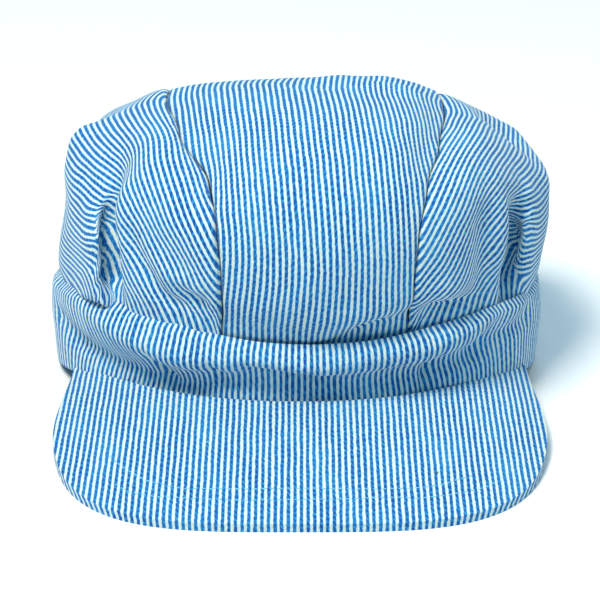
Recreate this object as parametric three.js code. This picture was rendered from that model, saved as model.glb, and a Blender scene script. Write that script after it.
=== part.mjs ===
// A railroad engineer cap: a soft crown of three cloth panels gathered on a head band, and a covered peak.
// Millimetres, +Z up. The peak points to -Y, and the back of the band and the edge of the peak lie on z = 0.
import * as THREE from 'three';
import { mergeVertices } from 'three/addons/utils/BufferGeometryUtils.js';

// The head band. Its top edge sags in front, and hitches up a little on the left.
const HEAD_WIDTH = 196;
const HEAD_LENGTH = 166;
const HEAD_FRONT_SHARE = 0.6;
const HEAD_SQUARENESS = 2.3;
const BAND_HEIGHT = 32;
const BAND_WALL = 2.4;
const BAND_SAG = 8;
const BAND_RIPPLE_DEPTH = 1.6;
const BAND_BELLY = 1.8;
const SAG_ANGLE = 4;
const SAG_SPREAD_ANGLE = 34;
const HITCH_SHARE = 0.4;
const HITCH_ANGLE = -55;
const HITCH_SPREAD_ANGLE = 22;
const RIPPLE_SPREAD_ANGLE = 60;

// The peak, and how high it holds the front of the band
const FRONT_LIFT = 22;
const LIFT_LENGTH = 114;
const PEAK_SEAM_ANGLE = 126;
const PEAK_WIDTH = 195;
const PEAK_REACH = 63;
const PEAK_SQUARENESS = 3.7;
const PEAK_WALL = 3.6;

// The crown: its rise over the band, and how far forward and to the right its highest place lies
const CROWN_RISE = 92;
const CROWN_FORWARD = 48;
const CROWN_ASIDE = 12;
const CROWN_OVERHANG = 8;
const CROWN_WALL = 1.8;
const FOLD_DEPTH = 10;
const FOLD_WIDTH = 9;
const SEAM_PINCH = 1.4;
const SEAM_PINCH_WIDTH = 7;

// The centre panel, from seam to seam, and how far it sits to the right of the middle
const PANEL_WIDTH = 76;
const PANEL_TOP_WIDTH = 113;
const PANEL_SHIFT = 7;

// The gap that is left at each seam
const SEAM_GAP = 0.35;

// How finely each piece is cut
const PANEL_ROWS = 40;
const PANEL_COLUMNS = 10;
const SIDE_ROWS = 48;
const SIDE_COLUMNS = 16;
const BAND_COLUMNS = 64;
const BAND_ROWS = 6;
const PEAK_COLUMNS = 36;
const PEAK_ROWS = 8;
const PROFILE_STEPS = 48;

// Sections of the crown, by their angle from the front towards +X.
// out: how far its widest place stands out past the band, as a share of CROWN_OVERHANG
// wide: how high that place lies, as a share of the way from the band up to the top
// square: how square the shoulder is, where 2 is an ellipse
const SECTIONS = [
  { angle: 0, out: 1.0, wide: 0.36, square: 2.6 },
  { angle: 45, out: 0.5, wide: 0.36, square: 2.15 },
  { angle: 90, out: -0.1, wide: 0.46, square: 1.8 },
  { angle: 135, out: 0.3, wide: 0.36, square: 1.7 },
  { angle: 180, out: 0.9, wide: 0.34, square: 1.7 },
  { angle: 225, out: -0.1, wide: 0.38, square: 1.8 },
  { angle: 270, out: -1.2, wide: 0.48, square: 2.4 },
  { angle: 315, out: 0.1, wide: 0.42, square: 2.4 },
];

// Half widths of the centre panel along its run from the band in front, over the top, to the band behind.
// flare: share of the way from PANEL_WIDTH to PANEL_TOP_WIDTH, shift: share of PANEL_SHIFT
const PANEL_RUN = [
  { run: 0.0, flare: 0.0, shift: 1.0 },
  { run: 0.12, flare: -0.02, shift: 1.1 },
  { run: 0.2, flare: 0.06, shift: 1.1 },
  { run: 0.28, flare: 0.3, shift: 1.0 },
  { run: 0.38, flare: 0.75, shift: 0.7 },
  { run: 0.5, flare: 1.0, shift: 0.5 },
  { run: 0.75, flare: 0.7, shift: 0.2 },
  { run: 1.0, flare: 0.15, shift: 0.0 },
];

// Folds of the crown, each a line from one place to another.
// from, to: angles from the front; low, high: shares of the way from the band up to the top at each
// depth: share of FOLD_DEPTH, less than nothing for a ridge; width, bow: shares of FOLD_WIDTH
const FOLDS = [
  { from: -51, low: 0.02, to: -54, high: 0.36, depth: 1.1, width: 1.1, bow: 0.2 },
  { from: -43, low: 0.26, to: -46, high: 0.4, depth: -0.3, width: 0.9, bow: 0 },
  { from: -74, low: 0.1, to: -76, high: 0.36, depth: -0.5, width: 1.6, bow: 0 },
  { from: -19, low: 0.06, to: -40, high: 0.28, depth: 0.3, width: 0.9, bow: 0.8 },
  { from: -26, low: 0.5, to: -38, high: 0.66, depth: 0.4, width: 1.1, bow: 0 },
  { from: 56, low: 0.02, to: 61, high: 0.32, depth: 1.0, width: 1.1, bow: 0 },
  { from: 78, low: 0.2, to: 82, high: 0.36, depth: -0.45, width: 1.4, bow: 0 },
  { from: 44, low: 0.1, to: 44, high: 0.32, depth: 0.3, width: 0.9, bow: 0 },
  { from: 24, low: 0.03, to: 42, high: 0.09, depth: 0.35, width: 0.8, bow: 0.3 },
  { from: 130, low: 0.05, to: 118, high: 0.4, depth: 0.6, width: 1.3, bow: 0 },
  { from: 152, low: 0.1, to: 146, high: 0.5, depth: 0.4, width: 1.2, bow: 0.4 },
  { from: -125, low: 0.05, to: -112, high: 0.42, depth: 0.6, width: 1.3, bow: 0 },
  { from: -150, low: 0.08, to: -142, high: 0.5, depth: 0.4, width: 1.2, bow: -0.4 },
];

// Ridges and grooves round the band, across its height, strongest in front.
// up: share of the band's height, out: share of BAND_RIPPLE_DEPTH, width: share of the band's height
const RIPPLES = [
  { up: 0.95, out: 0.7, width: 0.16 },
  { up: 0.62, out: 0.5, width: 0.16 },
  { up: 0.36, out: -1.3, width: 0.13 },
  { up: 0.08, out: 0.6, width: 0.14 },
];

const HALF_WIDTH = HEAD_WIDTH / 2;
const FRONT_LENGTH = HEAD_LENGTH * HEAD_FRONT_SHARE;
const BACK_LENGTH = HEAD_LENGTH - FRONT_LENGTH;
const CROWN_TOP = BAND_HEIGHT + CROWN_RISE;
const WALL_RUN = CROWN_RISE + HEAD_LENGTH / 3;
const FOOT_RISE = 0.06;

const radians = THREE.MathUtils.degToRad;
const mix = THREE.MathUtils.lerp;
const ease = THREE.MathUtils.smoothstep;

function bell(distance, width) {
  return Math.exp(-((distance / width) ** 2));
}

function turnBetween(a, b) {
  return THREE.MathUtils.euclideanModulo(a - b + 180, 360) - 180;
}

// A column of SECTIONS at any angle, as a smooth curve through its rows all the way round
function sectionAt(column, angle) {
  const step = 360 / SECTIONS.length;
  const place = THREE.MathUtils.euclideanModulo(angle, 360) / step;
  const row = Math.floor(place);
  const value = (k) => SECTIONS[(row + k + SECTIONS.length) % SECTIONS.length][column];
  const [before, here, next, after] = [value(-1), value(0), value(1), value(2)];
  const t = place - row;
  const bend = 2 * before - 5 * here + 4 * next - after;
  const twist = 3 * here - before - 3 * next + after;
  return here + 0.5 * t * (next - before + t * (bend + t * twist));
}

// A column of PANEL_RUN at any share of the run
function panelAt(column, run) {
  const k = Math.max(1, PANEL_RUN.findIndex((row) => row.run >= run));
  const [a, b] = [PANEL_RUN[k - 1], PANEL_RUN[k]];
  return mix(a[column], b[column], ease(run, a.run, b.run));
}

// Radius of a squared ellipse at an angle from the front
function ovalRadius(angle, halfWidth, halfLength, squareness) {
  const across = Math.abs(Math.sin(radians(angle))) / halfWidth;
  const along = Math.abs(Math.cos(radians(angle))) / halfLength;
  return (across ** squareness + along ** squareness) ** (-1 / squareness);
}

function polar(angle, radius, height) {
  return new THREE.Vector3(radius * Math.sin(radians(angle)), -radius * Math.cos(radians(angle)), height);
}

// How high the rim stands at a place this far back: flat behind, and lifted in front by the peak
function rimLift(y) {
  return FRONT_LIFT * ease(-y, FRONT_LENGTH - LIFT_LENGTH, FRONT_LENGTH);
}

// The rim is an oval round the widest place of the head, longer in front than behind
function rimRadius(angle) {
  const length = Math.abs(turnBetween(angle, 0)) < 90 ? FRONT_LENGTH : BACK_LENGTH;
  return ovalRadius(angle, HALF_WIDTH, length, HEAD_SQUARENESS);
}

function bandBottom(angle) {
  return rimLift(-rimRadius(angle) * Math.cos(radians(angle)));
}

function bandTop(angle) {
  const sag = BAND_SAG * bell(turnBetween(angle, SAG_ANGLE), SAG_SPREAD_ANGLE);
  const hitch = HITCH_SHARE * BAND_SAG * bell(turnBetween(angle, HITCH_ANGLE), HITCH_SPREAD_ANGLE);
  return bandBottom(angle) + BAND_HEIGHT - sag + hitch;
}

// The outer face of the band, at a share of its height
function bandRadius(angle, up) {
  const front = 0.25 + 0.75 * bell(turnBetween(angle, 0), RIPPLE_SPREAD_ANGLE);
  const ripple = RIPPLES.reduce((sum, r) => sum + r.out * bell(up - r.up, r.width), 0);
  return rimRadius(angle) + BAND_BELLY * Math.sin(Math.PI * up) + BAND_RIPPLE_DEPTH * front * ripple;
}

// The line of one section of the crown, from the band out to its widest place and over to the top
function crownSection(angle) {
  const top = new THREE.Vector3(CROWN_ASIDE, -CROWN_FORWARD, CROWN_TOP);
  const foot = polar(angle, bandRadius(angle, 1), bandTop(angle) + SEAM_GAP);
  const widest = rimRadius(angle) + CROWN_OVERHANG * sectionAt('out', angle);
  const wide = polar(angle, widest, mix(foot.z, top.z, sectionAt('wide', angle)));
  const power = 2 / sectionAt('square', angle);
  const line = [];
  const footSteps = PROFILE_STEPS / 4;
  for (let i = 0; i < footSteps; i++) {
    const t = i / footSteps;
    const p = foot.clone().lerp(wide, Math.sin((t * Math.PI) / 2));
    p.z = mix(foot.z, wide.z, t);
    line.push(p);
  }
  for (let i = 0; i <= PROFILE_STEPS; i++) {
    const turn = (i / PROFILE_STEPS) * (Math.PI / 2);
    const inward = 1 - Math.max(0, Math.cos(turn)) ** power;
    const p = wide.clone().lerp(top, inward);
    p.z = mix(wide.z, top.z, Math.sin(turn) ** power);
    line.push(p);
  }
  return line;
}

// The place on a line at a share of its length
function placeAlong(line, share) {
  const lengths = [0];
  for (let i = 1; i < line.length; i++) lengths.push(lengths[i - 1] + line[i].distanceTo(line[i - 1]));
  const target = share * lengths[line.length - 1];
  let k = 1;
  while (k < line.length - 1 && lengths[k] < target) k++;
  const t = (target - lengths[k - 1]) / (lengths[k] - lengths[k - 1]);
  return line[k - 1].clone().lerp(line[k], t);
}

// How far the folds push the crown in at a place
function foldDepth(angle, rise) {
  const roundness = HALF_WIDTH * Math.min(1, (1 - rise) / 0.6);
  let depth = 0;
  for (const fold of FOLDS) {
    const across = radians(turnBetween(angle, fold.from)) * roundness;
    const up = (rise - fold.low) * WALL_RUN;
    const runAcross = radians(fold.to - fold.from) * roundness;
    const runUp = (fold.high - fold.low) * WALL_RUN;
    const length = Math.hypot(runAcross, runUp);
    const t = THREE.MathUtils.clamp((across * runAcross + up * runUp) / length ** 2, 0, 1);
    const bow = (fold.bow * FOLD_WIDTH * 4 * t * (1 - t)) / length;
    const aside = Math.hypot(across - t * runAcross - bow * runUp, up - t * runUp + bow * runAcross);
    depth += FOLD_DEPTH * fold.depth * bell(aside, FOLD_WIDTH * fold.width);
  }
  return depth;
}

// The crown is laid out on a disc: its rim is the band, its middle the top, and (0, -1) is the front.
// Places on the disc are turned into an angle from the front and a rise from the band.
function discPolar(a, b) {
  return { angle: THREE.MathUtils.radToDeg(Math.atan2(a, -b)), rise: 1 - Math.min(1, Math.hypot(a, b)) };
}

function discRun(a, b) {
  const edge = Math.sqrt(Math.max(1e-9, 1 - a * a));
  return THREE.MathUtils.clamp((1 + b / edge) / 2, 0, 1);
}

function seamX(side, run) {
  const half = mix(PANEL_WIDTH, PANEL_TOP_WIDTH, panelAt('flare', run)) / 2;
  return PANEL_SHIFT * panelAt('shift', run) + side * half;
}

// A place on the crown before its folds
function crownSmooth(angle, rise) {
  return placeAlong(crownSection(angle), rise);
}

// A place on the outer face of the crown, pushed in by its folds and pinched at its seams
function crownFolded(angle, rise) {
  const p = crownSmooth(angle, rise);
  const a = (1 - rise) * Math.sin(radians(angle));
  const b = -(1 - rise) * Math.cos(radians(angle));
  const run = discRun(a, b);
  const pinch = bell(p.x - seamX(-1, run), SEAM_PINCH_WIDTH) + bell(p.x - seamX(1, run), SEAM_PINCH_WIDTH);
  const fade = ease(rise, 0, FOOT_RISE);
  const depth = (foldDepth(angle, rise) + SEAM_PINCH * pinch) * fade;
  const inward = crownNormal(crownSmooth, angle, rise).multiplyScalar(-depth);
  return p.add(inward);
}

// The outward direction of the crown at a place, on the smooth or the folded form
function crownNormal(form, angle, rise) {
  const step = 0.004;
  const low = Math.max(0, Math.min(rise, 0.97) - step);
  const up = form(angle, low + 2 * step).sub(form(angle, low));
  const turn = (step * 90) / (1.03 - rise);
  const round = form(angle + turn, Math.min(rise, 0.97)).sub(form(angle - turn, Math.min(rise, 0.97)));
  return round.cross(up).normalize();
}

// The outer and the inner place of the crown's wall at a place on the disc. Its foot lies flat on the band.
function crownWall(a, b) {
  const { angle, rise } = discPolar(a, b);
  const outer = crownFolded(angle, rise);
  const across = crownNormal(crownFolded, angle, rise);
  across.z *= ease(rise, 0, FOOT_RISE);
  const inner = outer.clone().addScaledVector(across.normalize(), -CROWN_WALL);
  return [outer, inner];
}

// The place on the disc at a share of the run where the crown is this far across
function discAt(run, x) {
  const slant = 2 * run - 1;
  let [low, high] = [-0.98, 0.98];
  for (let i = 0; i < 30; i++) {
    const a = (low + high) / 2;
    const { angle, rise } = discPolar(a, slant * Math.sqrt(1 - a * a));
    if (crownSmooth(angle, rise).x < x) low = a;
    else high = a;
  }
  return new THREE.Vector2(low, slant * Math.sqrt(1 - low * low));
}

// One closed cloth wall. at(row, column) gives the outer and the inner place there, and a ring joins on itself.
function clothWall(name, rows, columns, at, ring, material) {
  const position = [];
  const index = [];
  const wide = ring ? columns : columns + 1;
  for (let i = 0; i <= rows; i++) {
    for (let j = 0; j < wide; j++) {
      for (const p of at(i / rows, j / columns)) position.push(p.x, p.y, p.z);
    }
  }
  const outer = (i, j) => 2 * (i * wide + (j % wide));
  const inner = (i, j) => outer(i, j) + 1;
  const quad = (a, b, c, d) => index.push(a, b, c, a, c, d);
  for (let i = 0; i < rows; i++) {
    for (let j = 0; j < columns; j++) {
      quad(outer(i, j), outer(i, j + 1), outer(i + 1, j + 1), outer(i + 1, j));
      quad(inner(i, j), inner(i + 1, j), inner(i + 1, j + 1), inner(i, j + 1));
    }
  }
  for (let j = 0; j < columns; j++) {
    quad(outer(0, j + 1), outer(0, j), inner(0, j), inner(0, j + 1));
    quad(outer(rows, j), outer(rows, j + 1), inner(rows, j + 1), inner(rows, j));
  }
  for (let i = 0; i < rows && !ring; i++) {
    quad(outer(i, 0), outer(i + 1, 0), inner(i + 1, 0), inner(i, 0));
    quad(outer(i + 1, columns), outer(i, columns), inner(i, columns), inner(i + 1, columns));
  }
  const geometry = new THREE.BufferGeometry();
  geometry.setAttribute('position', new THREE.Float32BufferAttribute(position, 3));
  geometry.setIndex(index);
  const mesh = new THREE.Mesh(closed(mergeVertices(geometry, 1e-3)), material);
  mesh.name = name;
  return mesh;
}

// Where a wall narrows to a corner its faces collapse, and these are left out
function closed(geometry) {
  const index = geometry.getIndex().array;
  const kept = [];
  for (let k = 0; k < index.length; k += 3) {
    const [a, b, c] = index.slice(k, k + 3);
    if (a !== b && b !== c && c !== a) kept.push(a, b, c);
  }
  geometry.setIndex(kept);
  geometry.computeVertexNormals();
  return geometry;
}

// The strip that runs up the front of the crown, over the top and down the back
function centrePanel(material) {
  const at = (run, share) => {
    const clear = SEAM_GAP / 2;
    const x = mix(seamX(-1, run) + clear, seamX(1, run) - clear, share);
    const place = discAt(run, x);
    return crownWall(place.x, place.y);
  };
  return clothWall('centre_panel', PANEL_ROWS, PANEL_COLUMNS, at, false, material);
}

// A side of the crown, from the centre panel's seam down to the band. side is -1 on the left, 1 on the right.
function sidePanel(name, side, material) {
  const seam = (run) => discAt(run, seamX(side, run) + (side * SEAM_GAP) / 2);
  const [front, back] = [seam(0), seam(1)];
  const start = Math.atan2(front.x, -front.y);
  const end = Math.atan2(back.x, -back.y);
  const at = (run, share) => {
    const turn = mix(start, end, run);
    const rim = new THREE.Vector2(Math.sin(turn), -Math.cos(turn));
    const place = seam(run).lerp(rim, side > 0 ? share : 1 - share);
    return crownWall(place.x, place.y);
  };
  return clothWall(name, SIDE_ROWS, SIDE_COLUMNS, at, false, material);
}

// The head band, a buckled ring that narrows to a flat rim below
function headBand(material) {
  const at = (up, turn) => {
    const angle = 360 * turn;
    const height = mix(bandBottom(angle), bandTop(angle), up);
    const radius = bandRadius(angle, up);
    return [polar(angle, radius, height), polar(angle, radius - BAND_WALL, height)];
  };
  return clothWall('band', BAND_ROWS, BAND_COLUMNS, at, true, material);
}

// The peak: its seam runs under the front of the band, and its free edge lies on the floor in front
function peak(material) {
  const seamEnd = rimRadius(PEAK_SEAM_ANGLE / 2) * Math.sin(radians(PEAK_SEAM_ANGLE / 2));
  const seamBack = rimRadius(PEAK_SEAM_ANGLE / 2) * Math.cos(radians(PEAK_SEAM_ANGLE / 2));
  const reach = FRONT_LENGTH + PEAK_REACH - seamBack;
  const at = (out, share) => {
    const turn = 2 * share - 1;
    const angle = (turn * PEAK_SEAM_ANGLE) / 2;
    const seam = polar(angle, rimRadius(angle) - BAND_WALL / 2, bandBottom(angle) - SEAM_GAP);
    const edge = polar(90 * turn, ovalRadius(90 * turn, PEAK_WIDTH / 2, reach, PEAK_SQUARENESS), 0);
    const forward = -edge.y / reach;
    edge.x *= mix(seamEnd / (PEAK_WIDTH / 2), 1, ease(forward, 0, 0.5));
    edge.y -= seamBack;
    const side = rimLift(-seamBack) - SEAM_GAP;
    edge.z = mix(side, PEAK_WALL, ease(forward, 0, 0.8));
    const upper = seam.clone().lerp(edge, out);
    upper.z = mix(seam.z, edge.z, out ** 1.1);
    const lower = upper.clone();
    lower.z -= PEAK_WALL;
    return [lower, upper];
  };
  return clothWall('peak', PEAK_ROWS, PEAK_COLUMNS, at, false, material);
}

function stripedCotton(colour) {
  return new THREE.MeshStandardMaterial({ color: colour, roughness: 0.95, metalness: 0 });
}

const cap = new THREE.Group();
cap.add(centrePanel(stripedCotton(0x7fb0da)));
cap.add(sidePanel('left_side_panel', -1, stripedCotton(0x6ea2d2)));
cap.add(sidePanel('right_side_panel', 1, stripedCotton(0x6ea2d2)));
cap.add(headBand(stripedCotton(0x5f95ca)));
cap.add(peak(stripedCotton(0x74a8d8)));

// The origin is put at the middle of the bottom of the cap's box
const box = new THREE.Box3().setFromObject(cap);
const middle = box.getCenter(new THREE.Vector3());
cap.position.set(-middle.x, -middle.y, -box.min.z);
cap.updateMatrixWorld(true);

export default cap;
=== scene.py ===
# A railroad engineer cap in striped cotton, dressed over its solids. Metres, with its peak to -Y.
import math
import bpy
import numpy as np
from mathutils import Matrix, Vector, noise
from mathutils.kdtree import KDTree


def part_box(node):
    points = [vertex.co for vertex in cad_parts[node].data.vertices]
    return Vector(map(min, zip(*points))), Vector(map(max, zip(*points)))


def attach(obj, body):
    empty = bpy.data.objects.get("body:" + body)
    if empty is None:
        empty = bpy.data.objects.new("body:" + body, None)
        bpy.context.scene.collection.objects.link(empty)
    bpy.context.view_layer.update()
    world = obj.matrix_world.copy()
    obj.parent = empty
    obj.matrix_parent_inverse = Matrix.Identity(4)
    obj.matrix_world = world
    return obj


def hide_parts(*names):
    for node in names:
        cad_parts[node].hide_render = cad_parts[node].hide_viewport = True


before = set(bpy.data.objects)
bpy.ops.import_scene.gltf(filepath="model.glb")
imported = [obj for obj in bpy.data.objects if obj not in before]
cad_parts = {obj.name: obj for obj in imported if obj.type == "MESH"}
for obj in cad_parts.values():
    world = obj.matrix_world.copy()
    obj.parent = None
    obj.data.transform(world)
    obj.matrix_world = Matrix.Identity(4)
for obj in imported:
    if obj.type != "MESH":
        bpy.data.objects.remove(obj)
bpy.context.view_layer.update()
scene = bpy.context.scene
MM = 0.001

# The photo is 600 pixels each way, taken from a little above, 1.2 m in front of the band
PHOTO = 600
FOCAL = 3120
SENSOR = 36
ELEVATION = math.radians(27)
DISTANCE = 1.2
BAND_FRONT = Vector((-0.0008, -0.0550, 0.022))
AIM_ASIDE = 0.0008
AIM_UP = 0.0392

# A blue and a white stripe together, the cloth's wall, and its ribs, drawn twice as coarse
STRIPE = 2.4 * MM
CLOTH = 1.5 * MM
TWILL_RIB = 1.3 * MM

# What the crown's panels are cut to before gathering: width, length, area in the curved edges
CUT_SIZES = [(0.150, 0.290, 0.0270), (0.120, 0.230, 0.0170), (0.120, 0.230, 0.0155)]

HOLLOW = Vector((0.0, 0.025, 0.045))
CROWN_MIDDLE_Y = 0.028

# At the edge of the right bulge cloth hides cloth, and only the front layer is meant
FRONT_LAYER = {"right_side_panel_cloth": 6 * MM}
# Cloth nearly edge-on to the camera, or turned from it, isn't seen
GRAZING = 0.05

# Triangles that meet at less than this angle are one side of a wall
WALL_SIDE = math.radians(62)

# How the stripes' directions spread, and the radians a metre at which a turn squeezes them
CALM_DEGREES = 32
WAY_BLUR = 3 * MM
FAST_TURN = 160
LEAST_HOLD = 0.02

# The crown's seams and foot
SEAM_REACH = 3 * MM
FOOT_RISE = 2.5 * MM
SEAM_BEND = 2.2 * MM
FOOT_INWARD = 1.6 * MM
FOOT_DOWN = 4 * MM

# The band's edges: the upper turns in, and the lower closes on the peak
BAND_TOP_INWARD = 1.8 * MM
BAND_FOOT_DOWN = 3.2 * MM
# Stripes wider at the band's sides: degrees from the front, and how many of them there are
BAND_FULLNESS = [(0, 1), (45, 1), (75, 0.72), (105, 0.80), (180, 1)]
BAND_RADIUS = 0.09

PEAK_ROUND = 1.3 * MM
PEAK_ASIDE = 0.8 * MM
# The peak's stripes draw together towards its free edge, by this much for each metre
PEAK_FAN = 0.6
PEAK_FAN_Y = -0.09


def linear(colour):
    """An sRGB hex colour as linear light."""
    parts = [int(colour[i:i + 2], 16) / 255 for i in (1, 3, 5)]
    return (*(c / 12.92 if c <= 0.04045 else ((c + 0.055) / 1.055) ** 2.4 for c in parts), 1.0)


def add_node(tree, kind, inputs=None, **settings):
    """Adds a shader node. inputs gives a value, or the socket that feeds it."""
    node = tree.nodes.new("ShaderNode" + kind)
    for name, value in settings.items():
        setattr(node, name, value)
    for name, value in (inputs or {}).items():
        if isinstance(value, bpy.types.NodeSocket):
            tree.links.new(value, node.inputs[name])
        else:
            node.inputs[name].default_value = value
    return node


def ramp_stops(node, stops):
    """Sets a colour ramp's stops from (place, colour) pairs."""
    stop_list = node.color_ramp.elements
    while len(stop_list) < len(stops):
        stop_list.new(1.0)
    for stop, (place, colour) in zip(stop_list, stops):
        stop.position = place
        stop.color = linear(colour)


# Camera, soft studio light and a floor of matt white paper, which takes a pale shadow

def turn_to(thing, place):
    """Points a camera or lamp at a place."""
    thing.rotation_euler = (place - thing.location).to_track_quat("-Z", "Y").to_euler()


def set_camera():
    camera = bpy.data.objects.new("camera", bpy.data.cameras.new("camera"))
    scene.collection.objects.link(camera)
    camera.data.sensor_width = SENSOR
    camera.data.lens = FOCAL * SENSOR / PHOTO
    camera.data.clip_end = 20
    back = Vector((0, -math.cos(ELEVATION), math.sin(ELEVATION)))
    up = Vector((0, math.sin(ELEVATION), math.cos(ELEVATION)))
    camera.location = BAND_FRONT + back * DISTANCE
    turn_to(camera, BAND_FRONT + up * AIM_UP + Vector((AIM_ASIDE, 0, 0)))
    scene.camera = camera
    bpy.context.view_layer.update()
    return camera


def set_lights():
    world = bpy.data.worlds.new("studio")
    world.use_nodes = True
    sky = world.node_tree.nodes["Background"]
    sky.inputs["Color"].default_value = linear("#84D0F2")
    sky.inputs["Strength"].default_value = 0.56
    scene.world = world
    for name, place, size, power in (
        ("key light", (-0.52, -0.68, 1.70), 0.6, 39),
        ("back light", (0.75, 0.5, 1.6), 1.4, 10),
    ):
        lamp = bpy.data.objects.new(name, bpy.data.lights.new(name, "AREA"))
        scene.collection.objects.link(lamp)
        lamp.data.size = size
        lamp.data.energy = power
        lamp.data.color = (1.0, 0.93, 0.84)
        lamp.location = place
        turn_to(lamp, HOLLOW)
    scene.view_settings.view_transform = "Standard"


def plain(name, colour, roughness):
    """A matt material of one colour, such as paper or thread."""
    material = bpy.data.materials.new(name)
    material.use_nodes = True
    shader = material.node_tree.nodes["Principled BSDF"]
    shader.inputs["Base Color"].default_value = linear(colour)
    shader.inputs["Roughness"].default_value = roughness
    return material


def lay_floor():
    bpy.ops.object.select_all(action="DESELECT")
    bpy.ops.mesh.primitive_plane_add(size=8)
    floor = bpy.context.object
    floor.name = "floor"
    floor.data.materials.append(plain("matt white paper", "#F4F5F4", 0.9))


camera = set_camera()
EYE = np.array(camera.location)
SIGHT = np.array(camera.matrix_world.to_3x3())


def in_photo(points):
    """Where places fall in the photo, in pixels from its top left."""
    seen = (points - EYE) @ SIGHT
    return PHOTO / 2 + FOCAL * seen[:, :2] / -seen[:, 2:] * (1, -1)


# Meshes as arrays

def places(piece):
    flat = np.empty(len(piece.data.vertices) * 3)
    piece.data.vertices.foreach_get("co", flat)
    return flat.reshape(-1, 3)


def outward(piece):
    flat = np.empty(len(piece.data.vertices) * 3)
    piece.data.vertices.foreach_get("normal", flat)
    return flat.reshape(-1, 3)


def put(piece, points):
    piece.data.vertices.foreach_set("co", points.ravel())
    piece.data.update()


def edges_of(piece):
    flat = np.empty(len(piece.data.edges) * 2, int)
    piece.data.edges.foreach_get("vertices", flat)
    return flat.reshape(-1, 2)


def unit(vectors):
    return vectors / np.maximum(np.linalg.norm(vectors, axis=-1, keepdims=True), 1e-9)


def inward(points):
    """The level way from each point to the cap's middle."""
    return unit(np.array(HOLLOW) * (1, 1, 0) - points * (1, 1, 0))


def bell(distance, width):
    return np.exp(-(distance / width) ** 2)


def crease(distance):
    """A fold with a narrow bottom, 1 deep and about 1 wide."""
    return np.exp(0.39 - 1.6 * np.sqrt(distance ** 2 + 0.06))


def ease(value, low, high):
    """Rises smoothly from 0 to 1 between low and high."""
    share = np.clip((value - low) / (high - low), 0, 1)
    return share * share * (3 - 2 * share)


def nearest(points, others):
    """Each point's distance from the nearest of the others, and which that is."""
    tree = KDTree(len(others))
    for i, other in enumerate(others):
        tree.insert(other, i)
    tree.balance()
    found = [tree.find(p) for p in points]
    return np.array([f[2] for f in found]), np.array([f[1] for f in found])


def on_cloth(piece, pixels):
    """The places on a piece's near side that show at these pixels of the photo."""
    points, faces = places(piece), outward(piece)
    seen = in_photo(points)
    far = np.linalg.norm(points - EYE, axis=1)
    unseen = np.einsum("ij,ij->i", faces, EYE - points) < GRAZING
    layer = FRONT_LAYER.get(piece.name, math.inf)
    found = []
    for x, y in pixels:
        off = np.hypot(seen[:, 0] - x, seen[:, 1] - y) + 1e4 * unseen
        near = np.argsort(off)[:9]
        near = near[far[near] < far[near].min() + layer][:3]
        weight = 1 / (off[near] + 0.2)
        found.append((points[near] * weight[:, None]).sum(0) / weight.sum())
    return np.array(found)


def along_line(points, line, depths):
    """Each point's distance from a line, and the line's depth beside it."""
    best, depth = np.full(len(points), 1e9), np.zeros(len(points))
    for a, b, low, high in zip(line[:-1], line[1:], depths[:-1], depths[1:]):
        run = b - a
        share = np.clip((points - a) @ run / max(run @ run, 1e-12), 0, 1)
        off = np.linalg.norm(points - a - share[:, None] * run, axis=1)
        nearer = off < best
        best[nearer] = off[nearer]
        depth[nearer] = (low + share * (high - low))[nearer]
    return best, depth


def even_out(piece, values, times):
    """Averages a value of each point with its neighbours'."""
    edges = edges_of(piece)
    near = np.bincount(edges.ravel(), minlength=len(values))[:, None] + 1
    for _ in range(times):
        total = values.copy()
        np.add.at(total, edges[:, 0], values[edges[:, 1]])
        np.add.at(total, edges[:, 1], values[edges[:, 0]])
        values = total / near
    return values


def open_edge(piece):
    """True at the points on the cut edges of a cloth."""
    corner = np.empty(len(piece.data.loops), int)
    piece.data.loops.foreach_get("edge_index", corner)
    uses = np.bincount(corner, minlength=len(piece.data.edges))
    rim = np.zeros(len(piece.data.vertices), bool)
    rim[edges_of(piece)[uses == 1].ravel()] = True
    return rim


# Work on the cloth

def drag(piece, pulls):
    """Draws the cloth along, as the lists of pulls below say."""
    points = places(piece)
    move = np.zeros_like(points)
    for width, route in pulls:
        line = on_cloth(piece, [stop[:2] for stop in route])
        shares = np.array([along_line(points, line, [stop[k] for stop in route])[1]
                           for k in (2, 3, 4)]).T
        off, _ = along_line(points, line, np.zeros(len(route)))
        move += shares * MM * bell(off, width * MM)[:, None] @ SIGHT.T
    put(piece, points + move)


def press(piece, folds):
    """Pushes folds into a piece, as the lists of folds below say."""
    points, faces = places(piece), unit(even_out(piece, outward(piece), 6))
    move = np.zeros(len(points))
    for width, sharp, route in folds:
        line = on_cloth(piece, [(x, y) for x, y, _ in route])
        off, depth = along_line(points, line, [d for _, _, d in route])
        off /= width * MM
        move -= depth * MM * (crease(off) if sharp else bell(off, 1))
    put(piece, points + faces * move[:, None])


def relax(piece, times, factor=0.5):
    """Smooths a piece but leaves its open edges where they are."""
    edges, rim, points = edges_of(piece), open_edge(piece), places(piece)
    near = np.bincount(edges.ravel(), minlength=len(points))[:, None]
    for _ in range(times):
        mean = np.zeros_like(points)
        np.add.at(mean, edges[:, 0], points[edges[:, 1]])
        np.add.at(mean, edges[:, 1], points[edges[:, 0]])
        points = np.where(rim[:, None], points, points + factor * (mean / near - points))
    put(piece, points)


def rumple(piece, depth, size, seed):
    """Fine slack in the cloth, as smooth noise."""
    points, faces = places(piece), outward(piece)
    offset = Vector((seed * 7.3, seed * 3.1, seed * 5.7))
    wave = np.array([noise.noise(Vector(p) / size + offset) for p in points])
    put(piece, points + faces * (wave * depth)[:, None])


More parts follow.
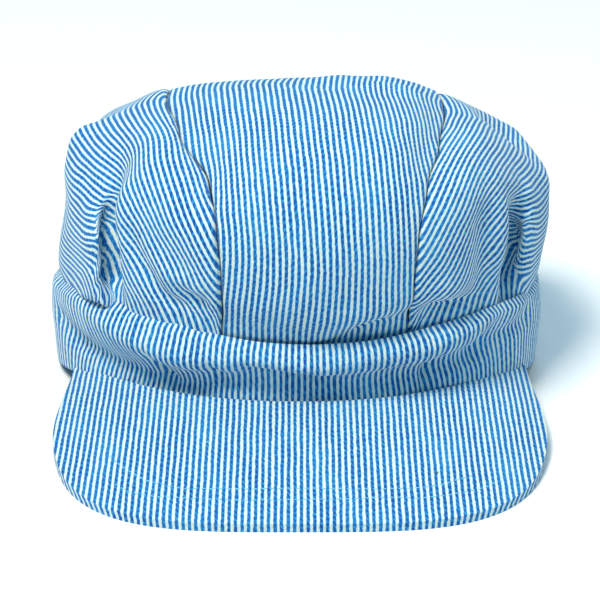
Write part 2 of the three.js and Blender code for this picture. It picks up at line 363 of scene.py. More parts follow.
def copy_of(node, name):
    """A copy of a solid with its triangles joined up and nothing selected in it."""
    bpy.ops.object.select_all(action="DESELECT")
    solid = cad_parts[node]
    piece = bpy.data.objects.new(name, solid.data.copy())
    scene.collection.objects.link(piece)
    piece.data.materials.clear()
    piece.select_set(True)
    bpy.context.view_layer.objects.active = piece
    bpy.ops.object.mode_set(mode="EDIT")
    bpy.ops.mesh.select_all(action="SELECT")
    bpy.ops.mesh.remove_doubles(threshold=0.02 * MM)
    bpy.ops.mesh.customdata_custom_splitnormals_clear()
    bpy.ops.mesh.select_all(action="DESELECT")
    bpy.ops.object.mode_set(mode="OBJECT")
    while piece.data.uv_layers:
        piece.data.uv_layers.remove(piece.data.uv_layers[0])
    return piece


def keep_outer_skin(piece):
    """Leaves only the outside of a cloth wall, up to its edges, as quads."""
    faces = piece.data.polygons
    reach = [(Vector(f.center) - HOLLOW).dot(f.normal) * f.area for f in faces]
    faces.active = int(np.argmax(reach))
    faces[faces.active].select = True
    bpy.ops.object.mode_set(mode="EDIT")
    bpy.ops.mesh.select_mode(type="FACE")
    bpy.ops.mesh.faces_select_linked_flat(sharpness=WALL_SIDE)
    bpy.ops.mesh.select_all(action="INVERT")
    bpy.ops.mesh.delete(type="FACE")
    bpy.ops.mesh.select_all(action="SELECT")
    bpy.ops.mesh.tris_convert_to_quads(face_threshold=math.radians(120),
                                       shape_threshold=math.radians(120))
    bpy.ops.object.mode_set(mode="OBJECT")


def apply_modifier(piece, kind, **settings):
    bpy.ops.object.select_all(action="DESELECT")
    piece.select_set(True)
    bpy.context.view_layer.objects.active = piece
    modifier = piece.modifiers.new(kind.lower(), kind)
    for name, value in settings.items():
        setattr(modifier, name, value)
    bpy.ops.object.modifier_apply(modifier=modifier.name)


def subdivide(piece, levels):
    apply_modifier(piece, "SUBSURF", levels=levels, render_levels=levels,
                   boundary_smooth="PRESERVE_CORNERS")


def finish_piece(piece, node, material):
    piece.data.materials.clear()
    piece.data.materials.append(material)
    piece.data.polygons.foreach_set("use_smooth", [True] * len(piece.data.polygons))
    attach(piece, "root")
    if node:
        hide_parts(node)


# How the stripes run

def solve_across(edges, points, slope, hold):
    """The smooth field nearest to a slope along the cloth. hold is each edge's say in it."""
    run = points[edges[:, 1]] - points[edges[:, 0]]
    rise = 0.5 * np.einsum("ij,ij->i", slope[edges[:, 0]] + slope[edges[:, 1]], run)
    weight = hold / np.maximum(np.linalg.norm(run, axis=1), 1e-5)
    count = len(points)

    def spread(value):
        return (np.bincount(edges[:, 1], weight * value, count)
                - np.bincount(edges[:, 0], weight * value, count))

    # Conjugate gradients, each point scaled by its edges' say
    field = np.zeros(count)
    left = spread(rise)
    scale = np.bincount(edges.ravel(), np.repeat(weight, 2), count)
    step = left / scale
    power = left @ step
    for _ in range(1500):
        pull = spread(step[edges[:, 1]] - step[edges[:, 0]])
        size = power / (step @ pull)
        field += size * step
        left -= size * pull
        eased = left / scale
        new_power = left @ eased
        if new_power < 1e-16:
            break
        step = eased + new_power / power * step
        power = new_power
    return field - field.mean()


def steepness(edges, points, field):
    """How fast a field changes along the cloth: 1 where its stripes have their true width."""
    run = points[edges[:, 1]] - points[edges[:, 0]]
    rise = field[edges[:, 1]] - field[edges[:, 0]]
    square = 2 * rise ** 2 / np.maximum((run ** 2).sum(1), 1e-12)
    near = np.bincount(edges.ravel(), minlength=len(points))
    return np.sqrt(np.bincount(edges.ravel(), np.repeat(square, 2), len(points)) / near)


def grain_of(piece, controls):
    """The stripes' direction at each point, from the lists below. The back mirrors calm ones."""
    points, faces = places(piece), outward(piece)
    roots = on_cloth(piece, [(x, y) for x, y, _ in controls])
    ways = []
    for root, (_, _, turn) in zip(roots, controls):
        face = faces[np.argmin(np.linalg.norm(points - root, axis=1))]
        first = unit(np.cross(face, (0.3, 0.2, 1.0)))
        second = np.cross(face, first)
        step = 0.1 * MM
        base, one, two = in_photo(np.array([root, root + first * step, root + second * step]))
        asked = np.array([math.cos(math.radians(turn)), math.sin(math.radians(turn))])
        share = np.linalg.solve(np.column_stack([one - base, two - base]), asked)
        ways.append(unit(share[0] * first + share[1] * second))
    ways = np.array(ways)
    turns = np.array([turn for _, _, turn in controls])
    calm = np.abs(turns - np.median(turns)) < CALM_DEGREES
    mirrored = roots[calm] * (1, -1, 1) + (0, 2 * CROWN_MIDDLE_Y, 0)
    mirrored = np.array([points[np.argmin(np.linalg.norm(points - m, axis=1))] for m in mirrored])
    roots = np.concatenate([roots, mirrored])
    ways = np.concatenate([ways, ways[calm] * (-1, 1, -1)])
    off = np.linalg.norm(points[:, None] - roots[None], axis=2)
    weight = 1 / (off ** 2 + WAY_BLUR ** 2) ** 2
    grain = unit(weight @ ways)
    grain -= np.einsum("ij,ij->i", grain, faces)[:, None] * faces
    return unit(grain)


def lay_stripes(piece, across, along):
    """Gives a piece its cloth map: metres across the stripes and along them."""
    layer = piece.data.uv_layers.new(name="cloth")
    corner = np.empty(len(piece.data.loops), int)
    piece.data.loops.foreach_get("vertex_index", corner)
    layer.data.foreach_set("uv", np.column_stack([across[corner], along[corner]]).ravel())


def lay_stripes_along(piece, controls):
    """Runs the stripes as the photo has them. They may squeeze where they turn fast, in a fold."""
    grain = grain_of(piece, controls)
    points, edges = places(piece), edges_of(piece)
    run = np.linalg.norm(points[edges[:, 1]] - points[edges[:, 0]], axis=1)
    turn = np.linalg.norm(grain[edges[:, 1]] - grain[edges[:, 0]], axis=1) / np.maximum(run, 1e-5)
    hold = np.maximum(1 / (1 + (turn / FAST_TURN) ** 4), LEAST_HOLD)
    slope = np.cross(outward(piece), grain)
    for _ in range(3):
        across = solve_across(edges, points, slope, hold)
        true_width = 1 / np.maximum(steepness(edges, points, across), 0.3)
        slope *= np.clip(true_width, 0.8, 1.3)[:, None]
    lay_stripes(piece, across, solve_across(edges, points, grain, hold))


# The cloth: cotton twill, yarn dyed and woven in narrow blue and white stripes. It is matt and a
# little fuzzy, and the white weft shows in the blue as short ribs that rise to the right.

def woven_striped_cotton(name, stain=None):
    """stain is its place on the cloth map and its size."""
    cloth = bpy.data.materials.new(name)
    cloth.use_nodes = True
    tree = cloth.node_tree
    shader = tree.nodes["Principled BSDF"]
    lie = add_node(tree, "UVMap", uv_map="cloth").outputs["UV"]
    flat = add_node(tree, "SeparateXYZ", {"Vector": lie})
    across, along = flat.outputs["X"], flat.outputs["Y"]

    # Noise, by its grains for each metre across and along: sway, slubs, specks, fading and fuzz
    noises = []
    for scale, detail in (((260, 90, 1), 2.0), ((900, 700, 1), 3.0), ((1100, 800, 1), 2.0),
                          ((70, 45, 1), 3.0), ((2600, 2600, 1), 2.0)):
        spread = add_node(tree, "VectorMath", {0: lie, 1: scale}, operation="MULTIPLY").outputs[0]
        noises.append(add_node(tree, "TexNoise",
                               {"Vector": spread, "Scale": 1.0, "Detail": detail}).outputs[0])
    sway, slub, speck, fade, fuzz = noises

    # The stripes waver as their yarns do: slowly along their length, and in small slubs
    count = add_node(tree, "Math", {0: across, 1: 1 / STRIPE}, operation="MULTIPLY").outputs[0]
    swayed = add_node(tree, "Math", {0: sway, 1: 0.28, 2: count},
                      operation="MULTIPLY_ADD").outputs[0]
    slubbed = add_node(tree, "Math", {0: slub, 1: 0.30, 2: swayed},
                       operation="MULTIPLY_ADD").outputs[0]
    place = add_node(tree, "Math", {0: slubbed}, operation="FRACT").outputs[0]

    # Twill ribs, which cross the blue as paler flecks
    rise = add_node(tree, "Math", {0: across, 1: 0.8 / TWILL_RIB}, operation="MULTIPLY").outputs[0]
    rib_count = add_node(tree, "Math", {0: along, 1: 1 / TWILL_RIB, 2: rise},
                         operation="MULTIPLY_ADD").outputs[0]
    rib_sway = add_node(tree, "Math", {0: slub, 1: 1.4, 2: rib_count},
                        operation="MULTIPLY_ADD").outputs[0]
    rib = add_node(tree, "Math", {0: rib_sway, 1: 1.0}, operation="PINGPONG").outputs[0]
    fleck = add_node(tree, "Math", {0: rib, 1: speck}, operation="MULTIPLY").outputs[0]
    fleck_amount = add_node(tree, "MapRange", {"Value": fleck, "From Min": 0.22, "From Max": 0.62})
    soft_fleck = add_node(tree, "Math", {0: fleck_amount.outputs[0], 1: 0.75},
                          operation="MULTIPLY").outputs[0]

    # Blue that fades and deepens from place to place, and white yarn that isn't all one white
    blue = add_node(tree, "ValToRGB", {"Fac": fade})
    ramp_stops(blue, [(0.30, "#0A4494"), (0.50, "#1154A2"), (0.72, "#2070B4")])
    white = add_node(tree, "ValToRGB", {"Fac": speck})
    ramp_stops(white, [(0.30, "#C8D2C6"), (0.50, "#D6DDD4"), (0.80, "#DEE3DC")])
    flecked = add_node(tree, "MixRGB", {"Fac": soft_fleck, "Color1": blue.outputs[0],
                                        "Color2": linear("#34A4D4")})

    # White, a pale fringe where the yarns change, and blue
    inside = add_node(tree, "ValToRGB", {"Fac": place})
    ramp_stops(inside, [(0.22, "#000000"), (0.30, "#FFFFFF"), (0.70, "#FFFFFF"), (0.78, "#000000")])
    fringe = add_node(tree, "ValToRGB", {"Fac": place})
    ramp_stops(fringe, [(0.15, "#000000"), (0.24, "#FFFFFF"), (0.76, "#FFFFFF"), (0.85, "#000000")])
    edged = add_node(tree, "MixRGB", {"Fac": fringe.outputs[0], "Color1": white.outputs[0],
                                      "Color2": linear("#52BCDA")})
    woven = add_node(tree, "MixRGB", {"Fac": inside.outputs[0], "Color1": edged.outputs[0],
                                      "Color2": flecked.outputs[0]})
    if stain:
        *middle, size = stain
        away = add_node(tree, "VectorMath", {0: lie, 1: (*middle, 0)}, operation="DISTANCE")
        edge = add_node(tree, "Math", {0: slub, 1: 0.6 * size, 2: away.outputs["Value"]},
                        operation="MULTIPLY_ADD").outputs[0]
        mark = add_node(tree, "MapRange", {"Value": edge, "From Min": size, "From Max": 0.4 * size})
        woven = add_node(tree, "MixRGB", {"Fac": mark.outputs[0], "Color1": woven.outputs[0],
                                          "Color2": linear("#35584E")})
    tree.links.new(woven.outputs[0], shader.inputs["Base Color"])

    # Ribs and fuzz that the light catches
    height = add_node(tree, "Math", {0: rib, 1: 0.5, 2: fuzz}, operation="MULTIPLY_ADD").outputs[0]
    relief = add_node(tree, "Bump", {"Strength": 0.35, "Distance": 0.25 * MM, "Height": height})
    tree.links.new(relief.outputs[0], shader.inputs["Normal"])
    shader.inputs["Roughness"].default_value = 0.92
    shader.inputs["Specular IOR Level"].default_value = 0.25
    shader.inputs["Sheen Weight"].default_value = 0.12
    shader.inputs["Sheen Roughness"].default_value = 0.5
    return cloth


# Directions of the stripes in the photo: x, y, degrees clockwise from the right
LEFT_GRAIN = [
    (74, 150, 58), (74, 182, 28), (74, 205, 26), (75, 225, 28), (75, 245, 33), (78, 264, 35),
    (90, 284, 38), (95, 150, 59), (95, 182, 36), (94, 203, 14), (95, 222, -3), (95, 242, -8),
    (96, 262, -2), (98, 282, 32), (101, 215, 8), (101, 240, 4), (101, 262, 12), (103, 284, 40),
    (110, 130, 60), (110, 150, 60), (109, 170, 56), (111, 183, 50), (112, 205, 88),
    (113, 225, 88), (113, 245, 80), (115, 265, 80), (117, 285, 76), (120, 300, 80),
    (135, 115, 60), (135, 160, 58), (133, 190, 58), (133, 215, 63), (134, 240, 65),
    (135, 262, 72), (136, 282, 74), (139, 304, 74), (155, 110, 60), (155, 150, 60),
    (155, 190, 60), (155, 230, 63), (156, 260, 63), (157, 282, 72), (159, 304, 73),
    (172, 140, 62), (177, 180, 60), (178, 225, 61), (178, 262, 60), (177, 284, 56),
    (174, 300, 46), (178, 320, 72), (195, 185, 61), (197, 215, 58), (197, 250, 61),
    (197, 278, 60), (195, 297, 44), (200, 313, 53), (205, 324, 60), (215, 235, 60),
    (216, 265, 60), (216, 290, 57), (217, 310, 55), (219, 326, 58),
]
RIGHT_GRAIN = [
    (460, 118, 114), (475, 122, 118), (495, 130, 117), (514, 140, 106), (528, 152, 100),
    (450, 145, 113), (475, 150, 116), (496, 158, 116), (514, 162, 104), (530, 170, 118),
    (438, 185, 113), (455, 185, 112), (475, 185, 112), (495, 184, 115), (510, 180, 130),
    (516, 190, 144), (505, 197, 142), (526, 192, 160), (435, 210, 113), (455, 210, 112),
    (475, 210, 112), (491, 208, 118), (498, 200, 124), (431, 235, 112), (455, 235, 111),
    (475, 235, 108), (492, 230, 106), (505, 225, 108), (429, 262, 113), (455, 260, 109),
    (475, 262, 108), (492, 260, 104), (507, 252, 104), (426, 285, 114), (445, 280, 116),
    (462, 280, 117), (478, 280, 114), (494, 278, 108), (505, 276, 108), (421, 300, 116),
    (433, 297, 120), (446, 294, 126), (460, 290, 133), (474, 288, 132), (488, 285, 124),
    (417, 312, 120), (430, 311, 126), (447, 309, 134), (436, 320, 124), (455, 314, 124),
    (475, 303, 118), (498, 293, 110), (512, 214, 118), (513, 235, 102), (511, 258, 100),
    (509, 278, 104), (527, 212, 180), (527, 228, 196), (526, 245, 190), (522, 262, 186),
    (535, 212, 196), (534, 228, 208), (533, 245, 190), (529, 262, 190), (526, 276, 190),
]
CENTRE_GRAIN = [
    (175, 105, 84), (190, 120, 84), (200, 150, 82), (206, 170, 78), (216, 150, 84),
    (218, 195, 81), (224, 215, 82), (240, 90, 79), (242, 120, 84), (242, 160, 87),
    (240, 190, 85), (238, 220, 83), (240, 250, 89), (242, 275, 96), (242, 300, 98),
    (245, 325, 92), (270, 90, 77), (268, 115, 80), (270, 145, 85), (270, 190, 87),
    (268, 230, 86), (268, 270, 92), (268, 300, 98), (270, 325, 96), (300, 90, 77),
    (300, 120, 79), (300, 150, 83), (300, 200, 87), (300, 250, 88), (300, 290, 94),
    (300, 325, 95), (345, 90, 77), (345, 120, 79), (345, 160, 84), (345, 210, 87),
    (345, 260, 88), (345, 300, 90), (345, 328, 99), (375, 92, 73), (372, 120, 78),
    (372, 160, 86), (372, 210, 86), (372, 260, 89), (372, 300, 92), (370, 324, 106),
    (398, 96, 66), (398, 120, 78), (398, 150, 82), (398, 200, 85), (398, 250, 89),
    (398, 290, 91), (398, 316, 118), (424, 98, 62), (424, 120, 79), (424, 150, 80),
    (424, 185, 84), (416, 220, 85), (415, 260, 90), (412, 295, 96), (445, 105, 78),
    (440, 130, 84),
]

# Where the cloth leaves the solids: width in mm, then x, y, and right, up and nearer in mm
CENTRE_PULLS = [
    (14, [(350, 80, 0, 2.5, 0), (380, 84, 0, 4.0, 0), (412, 86, 0, 3.0, 0)]),
]
LEFT_PULLS = [
    (8, [(101, 196, 0.4, 0, 4), (99, 218, 0.8, 0, 11), (99, 245, 0.8, 0, 13),
         (99, 272, 0.8, 0, 11), (101, 292, 0.4, 0, 5)]),
    (18, [(88, 205, 0, 0, 5), (86, 240, 0, 0, 10), (88, 275, 0, 0, 8)]),
    (10, [(72, 140, -1.5, 1.5, 0), (66, 160, -2.0, 0, 0)]),
    (8, [(64, 180, 0.6, 0, 0), (62, 215, 1.2, 0, 0), (60, 235, 0.6, 0, 0)]),
    (12, [(95, 120, 0.5, -1.5, 0), (115, 106, 0.5, -1.0, 0)]),
]
RIGHT_PULLS = [
    (8, [(526, 202, 0, 0, 4), (528, 220, -0.4, 0, 10), (527, 240, -0.4, 0, 11),
         (523, 262, -0.4, 0, 9), (519, 282, 0, 0, 4)]),
    (12, [(505, 122, -4.5, -3.0, 0), (525, 136, -5.0, -2.5, 0), (545, 165, -1.5, 0, 0)]),
    (12, [(546, 195, 1.2, 0, 0), (546, 225, 1.0, 0, 0)]),
    (7, [(540, 256, -3.5, 0, 0)]),
]
BAND_PULLS = [
    (14, [(57, 285, -1.0, 4.0, 0), (57, 315, -2.0, 1.5, 0), (60, 345, -1.5, 0, 0)]),
    (14, [(541, 285, -0.5, 4.0, 0), (539, 320, 0.8, 1.0, 0)]),
    (8, [(466, 303, -0.6, 0, -1.2), (486, 294, -1.0, 0, -2.4), (504, 284, -0.8, 0, -1.8)]),
]

# Folds in the photo: width in mm, whether sharp, then x, y and depth in mm. Ridges are under 0
CENTRE_FOLDS = [
    (9, False, [(176, 100, 2.0), (188, 130, 3.5), (196, 160, 3.0), (212, 190, 1.0)]),
    (8, False, [(447, 100, 2.0), (441, 130, 3.0), (434, 155, 2.5), (428, 185, 0.5)]),
    (6, False, [(351, 80, -0.8), (371, 86, -1.6), (402, 89, -1.8), (428, 94, -1.4),
                (446, 97, -0.8)]),
    (4, False, [(360, 76, 0.8), (385, 80, 2.2), (405, 82, 2.4), (430, 88, 1.6), (446, 92, 0.6)]),
    (3.2, True, [(320, 347, 1.0), (341, 340, 2.5), (365, 333, 3.4), (385, 326, 2.4),
                 (402, 319, 0)]),
    (7, False, [(330, 330, -1.0), (365, 318, -1.8), (400, 305, -1.5)]),
    (10, False, [(250, 250, 0.6), (262, 290, 1.2), (290, 325, 0.8)]),
    (8, False, [(226, 332, 2.0), (262, 340, 3.0), (316, 345, 3.2), (365, 336, 3.0),
                (410, 318, 2.0)]),
    (12, False, [(385, 150, -0.8), (392, 200, -1.0), (398, 250, -0.6)]),
]
LEFT_FOLDS = [
    (3.8, False, [(111, 196, 2.0), (109, 215, 8), (108, 245, 10), (109, 272, 9), (111, 294, 5)]),
    (5, False, [(123, 190, -1.0), (122, 212, -1.5), (124, 240, -1.0)]),
    (5, False, [(80, 178, 2.0), (96, 188, 2.6), (108, 190, 2.0)]),
    (6, False, [(70, 134, -2.5), (84, 130, -3.0), (104, 124, -1.5)]),
    (4.5, False, [(124, 222, 0.5), (133, 248, 2.4), (148, 276, 3.2), (163, 297, 3.2),
                  (178, 312, 2.0)]),
    (3.2, False, [(172, 286, 1.0), (190, 295, 3.0), (202, 301, 2.4), (211, 305, 0)]),
    (2.4, False, [(163, 299, 1.0), (180, 305, 1.8), (196, 313, 0.8)]),
    (6, False, [(150, 250, -0.8), (170, 276, -1.8), (195, 288, -1.8)]),
    (7, False, [(176, 125, 2.5), (190, 150, 3.5), (202, 178, 3.0), (214, 205, 2.0),
                (221, 240, 1.4)]),
    (10, False, [(95, 145, 1.0), (112, 160, 2.0), (124, 182, 1.0)]),
    (9, False, [(150, 150, -1.0), (168, 190, -1.6), (182, 225, -1.2)]),
]
RIGHT_FOLDS = [
    (4.0, False, [(512, 202, 2.0), (516, 213, 7), (516, 232, 11), (514, 252, 10), (511, 272, 8),
                  (507, 288, 4)]),
    (6, False, [(496, 180, -1.5), (510, 188, -3.2), (524, 196, -3.0)]),
    (6, False, [(520, 130, -1.5), (538, 152, -2.0), (548, 176, -2.0)]),
    (8, False, [(487, 196, 1.0), (488, 225, 3.4), (487, 260, 3.0), (484, 285, 1.2)]),
    (5, False, [(502, 208, -1.6), (501, 248, -2.0), (497, 280, -1.0)]),
    (3.4, True, [(422, 312, 0), (434, 308, 2.8), (448, 304, 3.2), (465, 299, 2.6),
                 (486, 293, 1.2)]),
    (7, False, [(420, 299, -1.4), (445, 292, -2.2), (468, 285, -1.8)]),
    (7, False, [(446, 120, 2.0), (440, 150, 3.0), (433, 180, 3.0), (428, 215, 1.8),
                (424, 250, 1.0)]),
    (10, False, [(470, 120, -0.8), (470, 160, -1.4), (468, 200, -1.0)]),
]
BAND_FOLDS = [
    (5.0, False, [(60, 318, 2.5), (80, 342, 3.6), (105, 361, 4.6), (135, 374, 5.4),
                  (165, 382, 5.4), (195, 386, 4.6), (222, 386, 3.6), (242, 379, 2.4)]),
    (6.0, False, [(57, 285, -1.5), (80, 303, -2.4), (105, 320, -3.2), (135, 339, -3.8),
                  (165, 352, -3.8), (195, 360, -3.2), (225, 364, -2.2), (255, 362, -1.4)]),
    (6, False, [(75, 350, 1.0), (110, 370, 1.6), (165, 386, 2.2), (240, 394, 1.6),
                (320, 395, 1.4), (400, 394, 1.8), (450, 385, 2.0), (505, 356, 1.0)]),
    (2.2, True, [(146, 348, 0.8), (152, 362, 3.6), (160, 376, 3.6), (170, 386, 1.0)]),
    (2.2, True, [(208, 360, 0.8), (215, 372, 3.6), (226, 386, 2.0)]),
    (2.6, True, [(240, 366, 1.5), (255, 371, 4.4), (280, 376, 5.4), (304, 380, 5.4),
                 (325, 384, 4.4), (348, 385, 1.5)]),
    (6.0, False, [(250, 386, 2.6), (285, 392, 3.4), (325, 394, 3.0), (352, 392, 1.4)]),
    (4.5, False, [(250, 360, -1.2), (290, 366, -2.4), (320, 369, -2.4), (352, 364, -1.2)]),
    (5.0, False, [(348, 387, 2.0), (370, 384, 4.0), (395, 380, 5.0), (420, 376, 5.2),
                  (445, 368, 5.2), (481, 351, 4.6), (507, 334, 3.6), (526, 318, 2.4)]),
    (6.0, False, [(366, 357, -1.8), (396, 353, -3.4), (431, 346, -4.0), (457, 333, -4.0),
                  (492, 314, -3.2), (520, 298, -2.0)]),
    (2.2, True, [(425, 391, 1.0), (430, 381, 4.0), (436, 366, 3.6), (441, 350, 0.8)]),
    (3.8, False, [(477, 358, 1.0), (484, 342, 3.0), (494, 328, 3.0), (505, 317, 1.0)]),
]

# Two rows of stitching round the peak, a loose end of thread, and their stitches
STITCH_ROWS = [
    [(109, 455), (122, 466), (134, 474), (148, 481), (163, 485), (179, 488), (208, 489),
     (240, 489), (300, 489), (360, 489), (400, 488), (420, 488), (444, 484), (463, 479),
     (479, 474)],
    [(113, 484), (129, 491), (142, 494), (155, 496), (173, 498), (193, 499), (240, 500),
     (300, 500), (350, 499), (387, 498), (420, 499), (449, 496), (467, 492), (483, 488),
     (496, 482)],
    [(204, 443), (214, 439)],
]
STITCH_PITCH = 3.2 * MM
STITCH_LENGTH = 2.3 * MM
THREAD_WIDTH = 0.52 * MM
THREAD_HEIGHT = 0.40 * MM

# The pieces

def join_seam(panel, seam, joint):
    """Draws a panel's seam edge to its neighbour's, and the cloth near it along."""
    points = places(panel)
    off, beside = nearest(points, points[seam])
    _, match = nearest(points[seam], joint)
    shift = joint[match] - points[seam]
    apart = np.linalg.norm(points[seam][:, None] - points[seam][None], axis=2)
    weight = bell(apart, 4 * MM)
    shift = weight @ shift / weight.sum(1)[:, None]
    put(panel, points + shift[beside] * (1 - ease(off, 0, 16 * MM))[:, None])


def turn_in_seam(panel, joint, down):
    """Rounds a panel's seam edge in, where the cloth turns under. Both sides go down alike."""
    points = places(panel)
    off, beside = nearest(points, joint)
    short = np.clip(1 - off / SEAM_BEND, 0, 1)
    depth = SEAM_BEND * (1 - np.sqrt(1 - 0.9 * short ** 2))
    put(panel, points + down[beside] * depth[:, None])


def tuck_foot(panel, foot):
    """Slips the foot of a panel down behind the top edge of the band."""
    points = places(panel)
    off, _ = nearest(points, points[foot])
    points += inward(points) * (FOOT_INWARD * (1 - ease(off, 0, 8 * MM)))[:, None]
    points[:, 2] -= FOOT_DOWN * (1 - ease(off, 0, 7 * MM))
    put(panel, points)


# For each panel: its node, how often it is subdivided, pulls, folds, directions and cut size
PANELS = [
    ("centre_panel", 3, CENTRE_PULLS, CENTRE_FOLDS, CENTRE_GRAIN, CUT_SIZES[0]),
    ("left_side_panel", 2, LEFT_PULLS, LEFT_FOLDS, LEFT_GRAIN, CUT_SIZES[1]),
    ("right_side_panel", 2, RIGHT_PULLS, RIGHT_FOLDS, RIGHT_GRAIN, CUT_SIZES[2]),
]


def seams_and_feet(panels):
    """The points of each panel's seam edges, and those of its foot."""
    rims = [np.flatnonzero(open_edge(panel)) for panel in panels]
    centre, left, right = [places(panel)[rim] for panel, rim in zip(panels, rims)]
    seams, feet = [], []
    for rim, own, other in zip(rims, (centre, left, right),
                               (np.concatenate([left, right]), centre, centre)):
        off, _ = nearest(own, other)
        beside = off < SEAM_REACH
        low = own[:, 2] < own[beside, 2].min() + FOOT_RISE
        seams.append(rim[beside])
        feet.append(rim[low | ~beside])
    return seams, feet


def make_crown(cloth):
    panels = []
    for node, levels, *_ in PANELS:
        panel = copy_of(node, node + "_cloth")
        keep_outer_skin(panel)
        relax(panel, 3)
        subdivide(panel, levels)
        panels.append(panel)
    seams, feet = seams_and_feet(panels)
    for seed, (panel, (_, _, pulls, folds, _, _)) in enumerate(zip(panels, PANELS), 1):
        drag(panel, pulls)
        relax(panel, 3)
        press(panel, folds)
        relax(panel, 1, 0.4)
        rumple(panel, 0.7 * MM, 22 * MM, seed)
    joint = places(panels[0])[seams[0]]
    down = -unit(even_out(panels[0], outward(panels[0]), 10))[seams[0]]
    for panel, seam in zip(panels[1:], seams[1:]):
        join_seam(panel, seam, joint)
    for panel, foot, (node, _, _, _, grain, (width, length, area)) in zip(panels, feet, PANELS):
        lay_stripes_along(panel, grain)
        turn_in_seam(panel, joint, down)
        tuck_foot(panel, foot)
        apply_modifier(panel, "SOLIDIFY", thickness=CLOTH, offset=-1)
        finish_piece(panel, node, cloth)


def map_band(band):
    """The band is a straight strip: its stripes count round it, and its map is cut behind."""
    points = places(band)
    low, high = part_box("band")
    middle = np.array([(low[0] + high[0]) / 2, (low[1] + high[1]) / 2])
    turn = np.arctan2(points[:, 0] - middle[0], -(points[:, 1] - middle[1]))
    order = np.linspace(-math.pi, math.pi, 721)
    off_middle = np.abs(points[:, 2] - np.median(points[:, 2]))
    ring = np.array([points[np.argmin(np.abs(turn - t) + off_middle)] for t in order])
    steps = np.linalg.norm(np.diff(ring[:, :2], axis=0), axis=1)
    degrees, fullness = zip(*BAND_FULLNESS)
    steps *= np.interp(np.abs(order[1:] + order[:-1]) / 2, np.radians(degrees), fullness)
    length = np.concatenate([[0], np.cumsum(steps)])
    length *= STRIPE * round(length[-1] / STRIPE) / length[-1]
    layer = band.data.uv_layers.new(name="cloth")
    for face in band.data.polygons:
        turns = turn[list(face.vertices)]
        if turns.max() - turns.min() > math.pi:
            turns = np.where(turns < 0, turns + 2 * math.pi, turns)
        for loop, vertex, t in zip(face.loop_indices, face.vertices, turns):
            past_cut = max(t - math.pi, 0) * BAND_RADIUS
            layer.data[loop].uv = (np.interp(t, order, length) + past_cut, points[vertex, 2])


def make_band(cloth):
    band = copy_of("band", "band_cloth")
    keep_outer_skin(band)
    subdivide(band, 3)
    map_band(band)
    drag(band, BAND_PULLS)
    press(band, BAND_FOLDS)
    relax(band, 2, 0.4)
    rumple(band, 0.5 * MM, 14 * MM, 4)
    points = places(band)
    edge = points[open_edge(band)]
    top = edge[:, 2] > np.median(edge[:, 2])
    off, _ = nearest(points, edge[top])
    points += inward(points) * (BAND_TOP_INWARD * (1 - ease(off, 0, 3.5 * MM)))[:, None]
    off, _ = nearest(points, edge[~top])
    low = np.maximum(points[:, 2] - BAND_FOOT_DOWN, 0)
    points[:, 2] += (low - points[:, 2]) * (1 - ease(off, 0, 7 * MM))
    put(band, points)
    apply_modifier(band, "SOLIDIFY", thickness=CLOTH, offset=-1)
    finish_piece(band, "band", cloth)


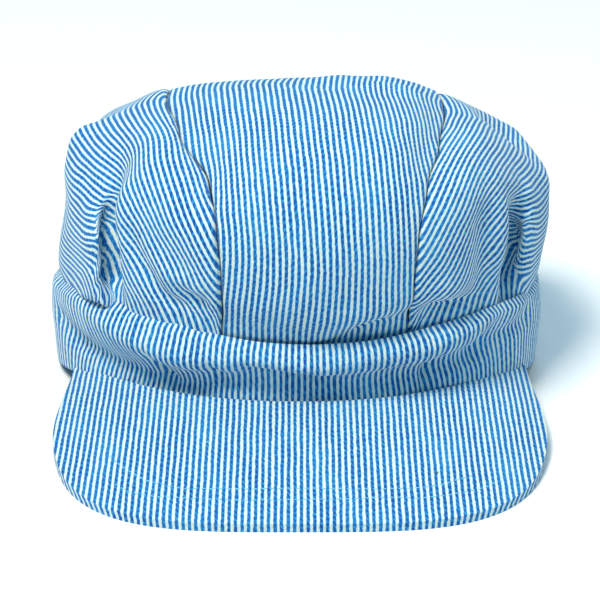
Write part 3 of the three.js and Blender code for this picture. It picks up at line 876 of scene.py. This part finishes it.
def make_peak(cloth):
    """The peak, with its stripes wrapped over the rim from the nearest cloth on top."""
    peak = copy_of("peak", "peak_cloth")
    bpy.ops.object.mode_set(mode="EDIT")
    bpy.ops.mesh.select_all(action="SELECT")
    bpy.ops.mesh.tris_convert_to_quads(face_threshold=math.radians(40),
                                       shape_threshold=math.radians(60))
    bpy.ops.object.mode_set(mode="OBJECT")
    apply_modifier(peak, "BEVEL", width=PEAK_ROUND, segments=3, limit_method="ANGLE",
                   angle_limit=math.radians(50))
    subdivide(peak, 2)
    points = places(peak)
    points[:, 0] += PEAK_ASIDE
    put(peak, points)
    across = points[:, 0] * (1 + PEAK_FAN * (points[:, 1] - PEAK_FAN_Y))
    along = points[:, 1].copy()
    faces = outward(peak)
    top = np.flatnonzero(faces[:, 2] > 0.8)
    side = np.flatnonzero(np.abs(faces[:, 2]) < 0.45)
    down = np.minimum(nearest(points[side], points[top])[0], 3 * MM)
    out = unit(faces[side] * (1, 1, 0))
    across[side] += (0.35 + 0.65 * out[:, 0] ** 2) * out[:, 0] * down
    along[side] += out[:, 1] * down
    lay_stripes(peak, across, along)
    finish_piece(peak, "peak", cloth)
    return peak


def make_stitches(peak, thread):
    """Rows of machine stitching, each stitch a small grain of thread sunk in the cloth."""
    bpy.ops.object.select_all(action="DESELECT")
    bpy.ops.mesh.primitive_uv_sphere_add(segments=8, ring_count=5, radius=1)
    pattern = bpy.context.object
    size = Matrix.Diagonal((STITCH_LENGTH / 2, THREAD_WIDTH / 2, THREAD_HEIGHT / 2, 1))
    stitches = []
    for row in STITCH_ROWS:
        line = on_cloth(peak, row)
        walked = np.concatenate([[0], np.cumsum(np.linalg.norm(np.diff(line, axis=0), axis=1))])
        ends = [np.array([np.interp(d, walked, line[:, k]) for k in range(3)])
                for d in np.arange(0, walked[-1], STITCH_PITCH)]
        for start, end in zip(ends[:-1], ends[1:]):
            above = Vector((start + end) / 2) + Vector((0, 0, 0.02))
            hit, place, normal, _ = peak.ray_cast(above, Vector((0, 0, -1)))
            if not hit:
                continue
            run = Vector(end - start)
            turn = (run - run.dot(normal) * normal).to_track_quat("X", "Z").to_matrix().to_4x4()
            stitch = pattern.copy()
            stitch.data = pattern.data.copy()
            stitch.data.transform(Matrix.Translation(place + normal * 0.04 * MM) @ turn @ size)
            scene.collection.objects.link(stitch)
            stitches.append(stitch)
    bpy.data.objects.remove(pattern)
    bpy.ops.object.select_all(action="DESELECT")
    for stitch in stitches:
        stitch.select_set(True)
    bpy.context.view_layer.objects.active = stitches[0]
    bpy.ops.object.join()
    rows = bpy.context.object
    rows.name = "peak_stitches"
    finish_piece(rows, None, thread)


set_lights()
lay_floor()
cloth = woven_striped_cotton("woven striped cotton twill")
stained = woven_striped_cotton("striped cotton twill with a small stain",
                               stain=(0.0513, -0.0905, 1.3 * MM))
make_band(cloth)
make_crown(cloth)
peak = make_peak(stained)
# Spun cotton thread, matt, and paler than the blue that it crosses
make_stitches(peak, plain("spun cotton thread", "#7CC4DA", 0.8))
